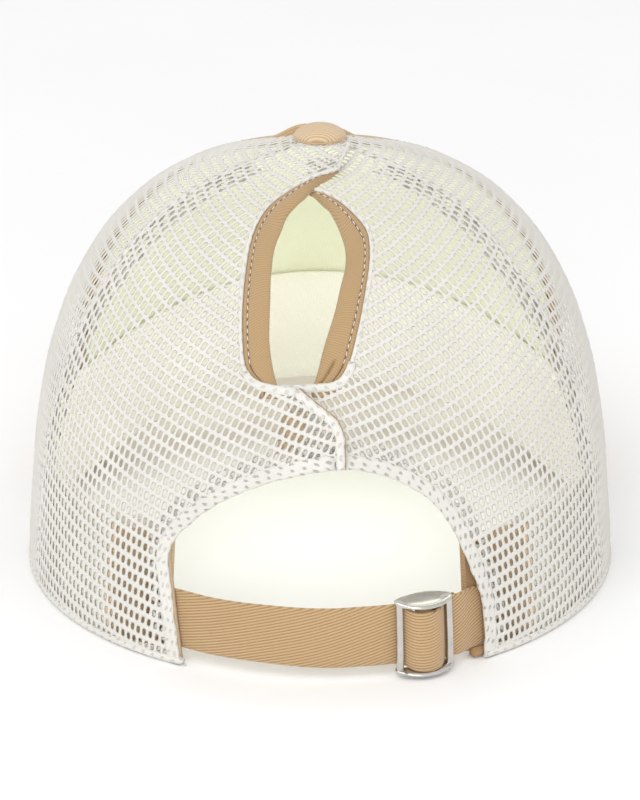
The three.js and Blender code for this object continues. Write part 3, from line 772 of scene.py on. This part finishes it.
# Hems of the net, and the welts where its panels are joined
ROLL = [(-0.3, -0.6), (-0.5, -0.1), (-0.25, 0.38), (0.5, 0.55), (1.2, 0.45), (1.8, 0.1), (1.9, -0.4),
        (1.3, -0.95), (0.3, -1.0)]
THIN_ROLL = [(-0.15, -0.6), (-0.25, -0.15), (-0.1, 0.24), (0.3, 0.38), (0.75, 0.22), (1.0, -0.1),
             (0.95, -0.6), (0.4, -0.9)]
HEM_PROFILE = [(-0.2, -0.6), (-0.3, -0.1), (0.1, 0.3), (0.9, 0.42), (1.6, 0.22), (2.4, 0.34), (3.2, 0.24),
               (3.7, -0.1), (3.7, -0.7), (2.0, -1.0), (0.4, -1.0)]
WELT = [(-1.1, -0.45), (-0.75, 0.12), (-0.3, 0.2), (0.0, -0.05), (0.3, 0.2), (0.75, 0.12), (1.1, -0.45),
        (0.0, -0.9)]
lap_low = edge_line(LAP_LEFT, 57.9, 77.3, 24)
lap_high = edge_line(LAP_LEFT, 121.5, 125.2, 30)

lower_left = slot_left[:, 1] < np.median(slot_left[:, 1])
lower_right = slot_right[:, 1] < np.median(slot_right[:, 1])
slot_foot_left = slot_left[lower_left & (slot_left[:, 0] < 15.4)]
slot_foot_right = slot_right[lower_right & (slot_right[:, 0] > -6.5)]
# The left hem changes its finish above its foot, at shares of the way from the rim to the top
UPPER_FROM, FOOT_TO = 0.19, 0.21
arch_upper = arch_left[arch_left[:, 1] > UPPER_FROM]
arch_foot = arch_left[arch_left[:, 1] < FOOT_TO]
# Name, path, profile, finish, side of the path, whether it lies on the lapped panel, and unevenness
HEMS = [
    ("hem_slot_left", slot_left, THIN_ROLL, ROLLED, 1, True, 0),
    ("hem_slot_right", slot_right, THIN_ROLL, ROLLED, -1, False, 0),
    ("roll_foot_left", slot_foot_left, ROLL, ROLLED, 1, True, 0),
    ("roll_foot_right", slot_foot_right, ROLL, ROLLED, -1, False, 0),
    ("hem_arch_left", arch_upper, HEM_PROFILE, HEM, -1, True, 0.1),
    ("hem_arch_foot", arch_foot, HEM_PROFILE, ROLLED, -1, True, 0.1),
    ("hem_arch_right", arch_right, HEM_PROFILE, HEM, -1, False, 0.1),
    ("hem_lap_low", lap_low, ROLL, ROLLED, -1, True, 0.08),
    ("hem_lap_high", lap_high, THIN_ROLL, ROLLED, -1, True, 0),
]
for name, path, profile, look, side, lifted, uneven in HEMS:
    strip(name, path, profile, look, side, lifted, uneven=uneven)
LAP_TAPE = [(-0.8, -0.85), (-0.8, -0.5), (0.6, -0.5), (0.6, -0.85)]
strip("lap_edge_tape", lap_low, LAP_TAPE, FACING_TWILL, -1, True)
strip("rim_left", rim_line(24, RIM_FRONT, 70), ROLL, ROLLED, 1)
strip("rim_right", rim_line(-30, -RIM_FRONT, 66), ROLL, ROLLED, -1)
welts = [("left", SEAM_LEFT, 0.6, 1), ("right", SEAM_RIGHT, 0.6, 1),
         ("front_left", SEAM_FRONT, 4.8, 1), ("front_right", SEAM_FRONT, 4.8, -1)]
for name, seam, low, way in welts:
    strip("welt_" + name, edge_line(seam, low, 125.5, 70) * [way, 1], WELT, HEM)

# Tape behind the edge of the rear opening
TAPE_PROFILE = [(0.35, -1.1), (1.5, -1.2), (3.0, -1.25), (3.3, -1.5), (3.1, -2.0), (1.5, -2.1), (0.35, -2.0)]
EDGE_TAPE = [(-0.4, -1.05), (0.9, -1.05), (0.9, -1.9), (-0.4, -1.9)]
LAP_BACK = [(-3.4, -1.2), (0, -1.15), (3.4, -1.2), (3.4, -1.45), (0, -1.5), (-3.4, -1.45)]
tape_left = arch_left[arch_left[:, 1] > 0.002]
tape_right = arch_right[arch_right[:, 1] > 0.002]
strip("tape_arch_left", tape_left, TAPE_PROFILE, TAPE, -1, True, ["arch_facing_left"])
strip("tape_arch_right", tape_right, TAPE_PROFILE, TAPE, -1, nodes=["arch_facing_right"])
foot_left = tape_left[tape_left[:, 1] < 0.185]
strip("tape_foot_left", foot_left, EDGE_TAPE, BAND_TAPE, -1, True)
lap_back = places(np.linspace(5.6, 5.0, 20), np.linspace(61.5, 72.5, 20))
strip("lap_back_tape", lap_back, LAP_BACK, BAND_TAPE, -1, True)

# The end of the band's binding shows as a small fold at the foot of the right panel. Its khaki is real, but
# the darker tape here is painted shade for the shade it lies in.
TAIL_PROFILE = [(0.1, -3.4), (0.1, -1.7), (0.4, -1.0), (1.4, -1.2), (2.6, -2.0), (2.4, -3.4)]
strip("band_tail_right", rim_line(-27.9, -32, 10), TAIL_PROFILE, TAPE, -1)

# Facings of the slot: from the net's edge (0) to the hole's edge (1), with a groove for the stitching
FACING_PROFILE = [
    (-0.12, -1.5), (-0.07, -1.35), (0.01, -0.7), (0.07, -0.3), (0.15, -0.32), (0.19, -0.5),
    (SEAM_SHARE, -0.9), (0.24, -0.6), (0.28, -0.42), (0.36, -0.36), (0.44, -0.36), (0.5, -0.38), (0.55, -0.4),
    (0.6, -0.43), (0.65, -0.47), (0.72, -0.58), (0.8, -0.7), (0.9, -0.98), (0.97, -1.4), (1, -1.9),
    (0.96, -2.5), (0.84, -2.6), (0.5, -2.1), (0.2, -1.9), (-0.12, -2.2),
]


def facing(name, edge, hole, lifted, fold=None):
    """A bound edge between the net's edge and the hole's edge, and the line of its stitching."""
    a, b = outline(edge, 110), outline(hole, 110)
    f, h = np.array(FACING_PROFILE).T
    az = mix(a[:, :1], b[:, :1], f)
    share = mix(a[:, 1:], b[:, 1:], f)
    t = np.linspace(0, 1, len(a))[:, None]
    off = h + lift(az, share, lifted)
    off = off + 0.14 * np.sin(t * 31 + f * 2.0) * smooth((f - 0.25) / 0.3)
    off = off + 0.1 * np.sin(t * 74 + f * 5.0) * smooth((f - 0.3) / 0.3)
    if fold is not None:
        off = off + fold(t, f)
    level = -0.9 + lift(az, share, lifted)
    off = mix(level, off, 0.15 + 0.85 * smooth(t / 0.16))
    run = run_of(on(*a.T))[:, None]
    weave = woven(run, f * FACING_V)
    make(name, loft(on(az, share, off)), FACING_TWILL, weave, ["slot_" + name])
    az, share = mix(a, b, SEAM_SHARE)[3:-8].T
    return with_normals(az, share, -0.58 + lift(az, share, lifted))


def folded(t, f):
    """A tuck near the lower end of the right facing."""
    along = smooth((t - 0.84) / 0.03) * smooth((0.97 - t) / 0.02)
    line = 0.52 + 1.5 * (t - 0.84)
    tuck = hill((f - line) / 0.045)
    crest = hill((f - line + 0.13) / 0.09)
    return along * (0.45 * crest - 1.5 * tuck)


EDGE_LEFT = SLOT_LEFT[:-1] + [(11.6, 75.0)]
EDGE_RIGHT = SLOT_RIGHT[:-2] + [(-3.0, 76.0)]
INNER_LEFT = [(-12.3, 121.3), (-4.5, 120.75), (2.5, 119.7)] + HOLE_LEFT[1:] + [(7.9, 75.2)]
INNER_RIGHT = HOLE_RIGHT + [(2.0, 76.0)]
line_left = facing("facing_left", EDGE_LEFT, INNER_LEFT, True)
line_right = facing("facing_right", EDGE_RIGHT, INNER_RIGHT, False, folded)
stitches("stitches_slot", [line_left, line_right], WHITE_THREAD, 2.2, 1.6, 0.15)

# Strap, its loop and the buckle, with routes as (azimuth, distance out from the crown)
STRAP_LOW, STRAP_HIGH, STRAP_THICK = 3.8, 19.9, 1.2
LOOP_LOW, LOOP_HIGH, LOOP_THICK = 4.3, 19.3, 0.9
STRAP_OFF = -1.15
PLAN_TH = float(th_at(0.0, share_at(0.0, STRAP_LOW)))
# The buckle: its middle, half its spread and its overhang in degrees, then its lean, distance out and heights
BUCKLE_AT, SPREAD, OVERHANG = -17.8, 4.45, 0.72
TILT, BUCKLE_OFF = 0.12, 0.9
BUCKLE_LOW, BUCKLE_HIGH = 1.0, 20.4
STRAP_ROUTE = [
    (33, -3), (29, -3), (24, -3), (19, -2.6), (12, -1.9), (5, -1.5), (-2, -1.3), (-8, -1.2), (-11, -1.15),
    (-13.35, -1.15), (-14.1, -0.6), (-14.8, 0.9), (-15.6, 2.5), (-16.6, 3.4), (-17.8, 3.7), (-19, 3.5),
    (-20, 2.6), (-20.8, 1), (-21.5, -0.55), (-22.25, -1.15), (-24.2, -1.2), (-25.6, -1.6), (-27.2, -2.6),
    (-28.6, -3), (-31, -3), (-34, -3),
]
LOOP_ROUTE = [
    (-25, -3.85), (-23.6, -3.85), (-22.4, -3.8), (-21.4, -3.35), (-20.2, -2.55), (-19, -1.75), (-17.8, -1.55),
    (-16.9, -1.05), (-16.5, 0.4), (-16.9, 1.85), (-17.8, 2.3), (-18.5, 1.75), (-19.2, 0.6), (-20.1, -0.75),
    (-21.2, -2), (-22.4, -2.5), (-24.6, -2.55),
]
# How steeply the twill's lines rise along the strap, by azimuth
TWILL_RISE = [(33, 0.26), (10, 0.28), (-10, 0.3), (-13, 0.28), (-14.5, 0.02), (-17.8, 0.1), (-20.5, 0.3),
              (-22.5, 0.46), (-34, 0.42)]
LEAN_Z = np.linspace(0.5, 40, 40)
LEAN = on(0.0, share_at(0.0, LEAN_Z))[:, 1] / crown(0.0, PLAN_TH)[1]


def planned(az, off):
    return crown(az, PLAN_TH, off)[..., :2]


def raised(xy, z):
    lean = np.interp(z, LEAN_Z, LEAN)
    return np.concatenate([xy * lean[..., None], z[..., None]], -1)


def upright_outline(low, high, half, edge):
    """Depth and height round the section of a band that stands on edge, with rounded edges."""
    levels = np.linspace(low + edge, high - edge, 9)
    side = [np.full(9, half), [half * 0.6, -half * 0.6], np.full(9, -half), [-half * 0.6, half * 0.6]]
    return np.concatenate(side), np.concatenate([levels, [high, high], levels[::-1], [low, low]])


def webbing(name, route, low, high, thick, step, look, node, tilt):
    """A woven strap that stands on edge along its route."""
    route = np.array(route, float)
    course = curve(np.concatenate([planned(*route.T), route[:, 1:]], 1), 400)
    run = run_of(course[:, :2])
    count = int(run[-1] / step)
    at = np.linspace(0, run[-1], count)
    course = at_run(at, run, course)
    xy, off = course[:, :2], course[:, 2]
    along = unit(np.gradient(xy, axis=0))
    out = np.stack([-along[:, 1], along[:, 0]], 1)
    side, z = upright_outline(low, high, thick / 2, 0.35)
    rings_xy = xy[:, None] + out[:, None] * side[:, None]
    az = np.degrees(np.arctan2(xy[:, 0], xy[:, 1]))
    share_up = (z - low) / (high - low)
    sag = -0.7 * smooth((18 - az) / 25) - 0.5 * smooth((-19 - az) / 6)
    rings_z = z + sag[:, None] * (1 - share_up) + 0.12 * np.sin(at * 0.21)[:, None]
    rings_z = rings_z - tilt * np.maximum(off - STRAP_OFF, 0)[:, None]
    rise = np.arctan(edge_at(TWILL_RISE[::-1], az))
    v = (z - low) * np.cos(rise)[:, None] - np.cumsum(np.sin(rise) * np.gradient(at))[:, None]
    make(name, loft(raised(rings_xy, rings_z)), look, woven(at[:, None], v), [node], crease=60)


webbing("strap_band", STRAP_ROUTE, STRAP_LOW, STRAP_HIGH, STRAP_THICK, 0.4, STRAP_TWILL,
        "strap", tilt=0.24)
webbing("strap_end", LOOP_ROUTE, LOOP_LOW, LOOP_HIGH, LOOP_THICK, 0.5, TAPE,
        "strap_loop", tilt=0.12)


def buckle_plate(z, upper):
    """A lens-shaped end of the buckle, dished on its outer side."""
    s = np.linspace(0, 1, 49)
    bulge = np.sin(np.pi * np.clip(s, 0.004, 0.996)) ** 0.8
    az = BUCKLE_AT + mix(SPREAD + OVERHANG, -SPREAD - OVERHANG, s)
    outer, inner = BUCKLE_OFF + 3.8 * bulge + 0.35, BUCKLE_OFF - 1.0 - 3.4 * bulge
    c = np.array([0.0, 0.02, 0.07, 0.13, 0.22, 0.34, 0.5, 0.66, 0.78, 0.87, 0.93, 0.98, 1.0, 0.98, 0.88, 0.5,
                  0.12, 0.02])
    top = np.array([0.5, 0.85, 1.0, 0.86, 0.5, 0.14, -0.02, 0.14, 0.5, 0.86, 1.0, 0.85, 0.5, 0.15, -0.1, -0.6,
                    -0.1, 0.15])
    deep = bulge[:, None] ** 1.5
    height = np.where((top > 0.6) | (c > 0.93), top, mix(0.9, top, deep))
    height = np.where(top < -0.01, mix(0.0, top, deep), height)
    off = mix(inner[:, None], outer[:, None], c)
    level = z + (height if upper else 1.0 - height) - TILT * (off - BUCKLE_OFF)
    xy = planned(np.broadcast_to(az[:, None], off.shape), off)
    return loft(raised(xy, level))


def buckle_bar(az, off, wide, deep, high=20.7):
    turn = np.arange(16) / 16 * 2 * np.pi
    a = powered(np.cos(turn), 0.65) * wide / 2
    b = powered(np.sin(turn), 0.65) * deep / 2
    spot = planned(az, off)
    outward = unit(planned(az, off + 1.0) - spot)
    along = np.array([-outward[1], outward[0]])
    z = np.linspace(BUCKLE_LOW, high, 14)[:, None] - TILT * (off - BUCKLE_OFF)
    xy = spot + along * a[:, None] + outward * b[:, None]
    return loft(raised(np.broadcast_to(xy, (14, 16, 2)), np.broadcast_to(z, (14, 16))))


parts = [buckle_plate(BUCKLE_HIGH, True), buckle_plate(BUCKLE_LOW, False),
         buckle_bar(BUCKLE_AT + SPREAD, BUCKLE_OFF, 2.0, 1.6),
         buckle_bar(BUCKLE_AT - SPREAD, BUCKLE_OFF, 2.0, 1.6),
         buckle_bar(BUCKLE_AT, 0.4, 1.9, 1.9, 19.9)]
verts, faces = [], []
for part_verts, part_faces in parts:
    start = sum(len(v) for v in verts)
    verts.append(part_verts)
    faces += [tuple(start + k for k in f) for f in part_faces]
make("slide_buckle", (np.concatenate(verts), faces), NICKEL, None, ["buckle"], crease=50)

# Sweatband: pale cotton with its ends bound in khaki. Its distance behind the net, by azimuth
BAND_INSET = [(34, 4.0), (41, 0.7), (110, 0.62), (122, 3.45)]
BAND_HALF = 0.9


def band(name, first, last, low, high, grow, look, nodes=()):
    """A stretch of the band between two azimuths and two heights, thicker by grow."""
    az = np.linspace(first, last, int(abs(last - first) / 1.5) + 2)
    wrapped = (az + 180) % 360 - 180
    inset = edge_at(BAND_INSET, np.abs(wrapped))
    rise = face(wrapped, 0.0)[:, 2]
    depth, h = upright_outline(low, high, BAND_HALF + grow, 0.5)
    z = rise[:, None] + h
    wave = 0.08 * np.sin(az * 0.9)[:, None] * h / high
    spots = wrapped[:, None]
    p = on(spots, share_at(spots, z), -inset[:, None] - BAND_HALF + depth + wave)
    make(name, loft(p), look, woven((az * 1.5)[:, None], h), nodes, crease=60)


band("band_body", 34, 321, 1, 37.5, 0, COTTON, ["sweatband"])
band("band_fold_left", 28.8, 42.0, 0.8, 34.5, 0.25, BAND_TAPE)
# The right end's binding is khaki, given the darker tape as painted shade
band("band_end_right", -27.6, -31.5, 0.8, 34.5, 0.3, TAPE)
band("band_fold_right", -31, -42.0, 0.8, 34.5, 0.25, BAND_TAPE)

# Front panels with their seams pressed in, and the stiff lining behind them
FRONT_EDGE = 118.3
PRESSED_AT = 3.2


def front_panel(name, way, gather, reach):
    """Half of the front, with its seams and pressed lines, gathered at the button."""
    share = (1 - (1 - np.linspace(0.0, 1, 84)) ** 1.35)[:, None] * 0.972
    az = mix(FRONT_EDGE, 180.0, np.linspace(0, 1, 40))
    p = face(az, th_at(az, share))
    r = np.hypot(p[..., 0], p[..., 1])
    from_middle = np.radians(180 - az) * r
    from_side = np.radians(az - FRONT_EDGE) * r
    dip = 0.9 * hill(from_middle / 0.8) + 0.7 * hill(from_side / 0.9)
    groove = 0.22 * (hill((from_middle - PRESSED_AT) / 0.45) + hill((from_side - PRESSED_AT) / 0.45))
    off = -dip - groove + 0.12 * np.sin(share * 21 + az * 0.06) + gather * smooth(1 - (r - 6.5) / reach)
    az = way * az
    shape = slab(on(az, share, off), on(az, share, -1.4 - dip * 0.3))
    make(name, shape, PANEL_TWILL, None, [name.replace("front", "front_panel")])


front_panel("front_left", 1, 2.7, 13)
front_panel("front_right", -1, 1.7, 8)
share = np.linspace(0.03, 0.93, 50)[:, None]
az = np.linspace(119.5, 240.5, 60)
shape = slab(on(az, share, -1.9 + 0.1 * np.sin(az * 0.3 + share * 9)), on(az, share, -2.9))
make("stiff_lining", shape, LINING, None, ["front_lining"])
front_lines = []
for way in (1, -1):
    middle = np.stack([np.full(80, 180.0 * way), np.linspace(0.03, 0.93, 80)], 1)
    front_lines.append(seam_line(middle, PRESSED_AT, way, -0.12))
    side_seam = edge_line(SEAM_FRONT, 6, 122, 80) * [way, 1]
    front_lines.append(seam_line(side_seam, 3.4, -way, -0.1))
stitches("stitches_front", front_lines, THREAD, 2.6, 1.9)

# Button: cloth gathered over a dome
BUTTON_RADIUS = 7.7
BUTTON_HIGH = 3.4
ring = np.linspace(0, 1, 16)
turn = np.arange(64) / 64 * 2 * np.pi
foot_z = float(face(0.0, th_at(0.0, 0.97))[2]) + 0.3
pleat = 1 + 0.01 * ring[:, None] ** 3 * np.cos(turn * 11 + 0.7 * np.sin(turn * 3))
dome = 1 - ring[:, None] ** 2.5
r = BUTTON_RADIUS * ring[:, None] * pleat
ridge = 0.32 * hill((turn - 2.45) / 0.3) * smooth(ring[:, None] / 0.6)
z = foot_z + BUTTON_HIGH * dome**0.75 + ridge
x, y = r * np.cos(turn), r * np.sin(turn)
rings = np.stack([x, y, z], -1)[::-1]
under = np.stack([x[-1] * 0.9, y[-1] * 0.9, np.full(64, foot_z - 1.3)], -1)
verts, faces = loft(np.concatenate([under[None], rings]), caps=False)
faces.append(tuple(range(64))[::-1])
make("covered_button", (verts, faces), BUTTON_TWILL, None, ["button"])

# Peak with rows of stitching, by their share of its length, and its rounded edge
STITCH_ROWS = [0.9, 0.78, 0.66, 0.54, 0.42, 0.3]
ROUND_FROM, ROUND_LENGTH = 0.965, 0.035


def peak_point(t, f, top):
    """t runs along the peak from -1 to 1, f from the crown to its outer edge."""
    az = np.where(t < 0, -180 - t * PEAK_ANGLE, 180 - t * PEAK_ANGLE)
    foot = crown(az, 0.0, 0.35)
    turn = t * np.pi / 2
    corner_y = crown(180 - PEAK_ANGLE, 0.0, 0.3)[1] - 3
    wide = PEAK_HALF_WIDTH * powered(np.sin(turn), 0.86)
    returning = smooth((np.abs(t) - 0.8) / 0.2) ** 2 * 0.92
    outer_x = mix(wide, np.sign(t) * (np.abs(foot[..., 0]) + 1.2), returning)
    outer_y = mix(corner_y, -(FRONT_DEPTH + PEAK_LENGTH), np.abs(np.cos(turn)) ** 0.78)
    x, y = mix(foot[..., 0], outer_x, f), mix(foot[..., 1], outer_y, f)
    droop = f * np.minimum(1, (1 - np.abs(t)) * 3)
    rounded = np.sqrt(1 - np.clip((f - ROUND_FROM) / ROUND_LENGTH, 0, 1) ** 2)
    rows = sum(hill((f - row) / 0.006) for row in STITCH_ROWS)
    half = PEAK_THICK / 2 * (0.25 + 0.75 * rounded) - 0.16 * rows
    return np.stack([x, y, peak_base(x, droop) + PEAK_THICK / 2 + (half if top else -half)], -1)


t = np.linspace(-1, 1, 97)[:, None]
near_rows = [np.array([-0.009, -0.004, 0, 0.004, 0.009]) + row for row in STITCH_ROWS]
f = np.sort(np.concatenate([np.linspace(0, 1, 26), *near_rows, [0.97, 0.98, 0.99]]))
shape = slab(peak_point(t, f, True), peak_point(t, f, False))
make("curved_peak", shape, PANEL_TWILL, None, ["peak"])
span = np.linspace(-0.93, 0.93, 240)
for top in (True, False):
    rows = []
    for row in STITCH_ROWS:
        p = peak_point(span, row, top)
        near = peak_point(span, row + 0.02, top)
        n = unit(np.cross(np.gradient(p, axis=0), near - p))
        n = np.where((n[:, 2] > 0)[:, None] == top, n, -n)
        rows.append((p, n))
    name = "stitches_peak_top" if top else "stitches_peak_under"
    stitches(name, rows, THREAD, 2.7, 2.0, 0.19)

# Floor, light and camera
FLOOR_HALF, FLOOR_Z = 4, -0.0004
floor_mesh = bpy.data.meshes.new("floor")
corners = [(x * FLOOR_HALF, y * FLOOR_HALF, FLOOR_Z) for x, y in ((-1, -1), (1, -1), (1, 1), (-1, 1))]
floor_mesh.from_pydata(corners, [], [(0, 1, 2, 3)])
floor = add("floor", floor_mesh)
floor_look = Finish("floor_paper", Roughness=0.9, Specular_IOR_Level=0.1)
grain = floor_look.noise(floor_look.place(), 6.0)
floor_look.link(floor_look.blend(grain, srgb((248, 248, 248)), srgb((252, 252, 252))), "Base Color")
floor_mesh.materials.append(floor_look.material)

world = bpy.data.worlds.new("studio")
world.use_nodes = True
background = world.node_tree.nodes["Background"].inputs
background["Color"].default_value = (1, 1, 1, 1)
background["Strength"].default_value = 0.92
scene.world = world


def lamp(name, place, target, size, power, color=(1, 1, 1), seen=True):
    """A round lamp aimed at its target, or without one a lamp that shines all round."""
    data = bpy.data.lights.new(name, "AREA" if target else "POINT")
    data.energy = power
    data.color = color
    made = add(name, data)
    made.location = place
    made.visible_camera = seen
    if target:
        data.shape = "DISK"
        data.size = size
        made.rotation_euler = (Vector(target) - Vector(place)).to_track_quat("-Z", "Y").to_euler()
    else:
        data.shadow_soft_size = size


lamp("key", (0.6, 1.0, 1.3), (0, 0.03, 0.06), 0.9, 4.5)
lamp("front", (0, 1.25, 0.5), (0, 0.03, 0.05), 0.5, 3.5)
# Faint light under the arch of the peak: place across and forward, height, width and power
UNDER_PEAK = [(0, -0.092, 0.009, 0.06, 0.0032), (0.044, -0.078, 0.008, 0.04, 0.0022),
              (-0.044, -0.078, 0.008, 0.04, 0.0022), (0.064, -0.052, 0.005, 0.03, 0.0006),
              (-0.064, -0.052, 0.005, 0.03, 0.0006)]
for across, forward, up, wide, power in UNDER_PEAK:
    lamp("under_peak", (across, forward, up), (across, forward, 0), wide, power, (0.9, 1.0, 0.88), seen=False)

# A soft lamp under the crown, so that the inside is as pale as the paper round the cap
lamp("inside", (0, 0.03, 0.07), None, 0.045, 0.1, (0.92, 0.96, 1.0), seen=False)

# The photograph's height, focal length and shift are in its pixels
PHOTO_HIGH, FOCAL, SHIFT = 800, 3069, 46.02
ELEVATION = math.radians(20)
SENSOR = 36
camera_data = bpy.data.cameras.new("camera")
camera_data.sensor_width = SENSOR
camera_data.lens = SENSOR * FOCAL / PHOTO_HIGH
camera_data.shift_y = -SHIFT / PHOTO_HIGH
camera = add("camera", camera_data)
camera.location = (0, 0.8784, 0.3678)
camera.rotation_euler = (math.pi / 2 - ELEVATION, 0, math.pi)
scene.camera = camera
scene.view_settings.view_transform = "Standard"
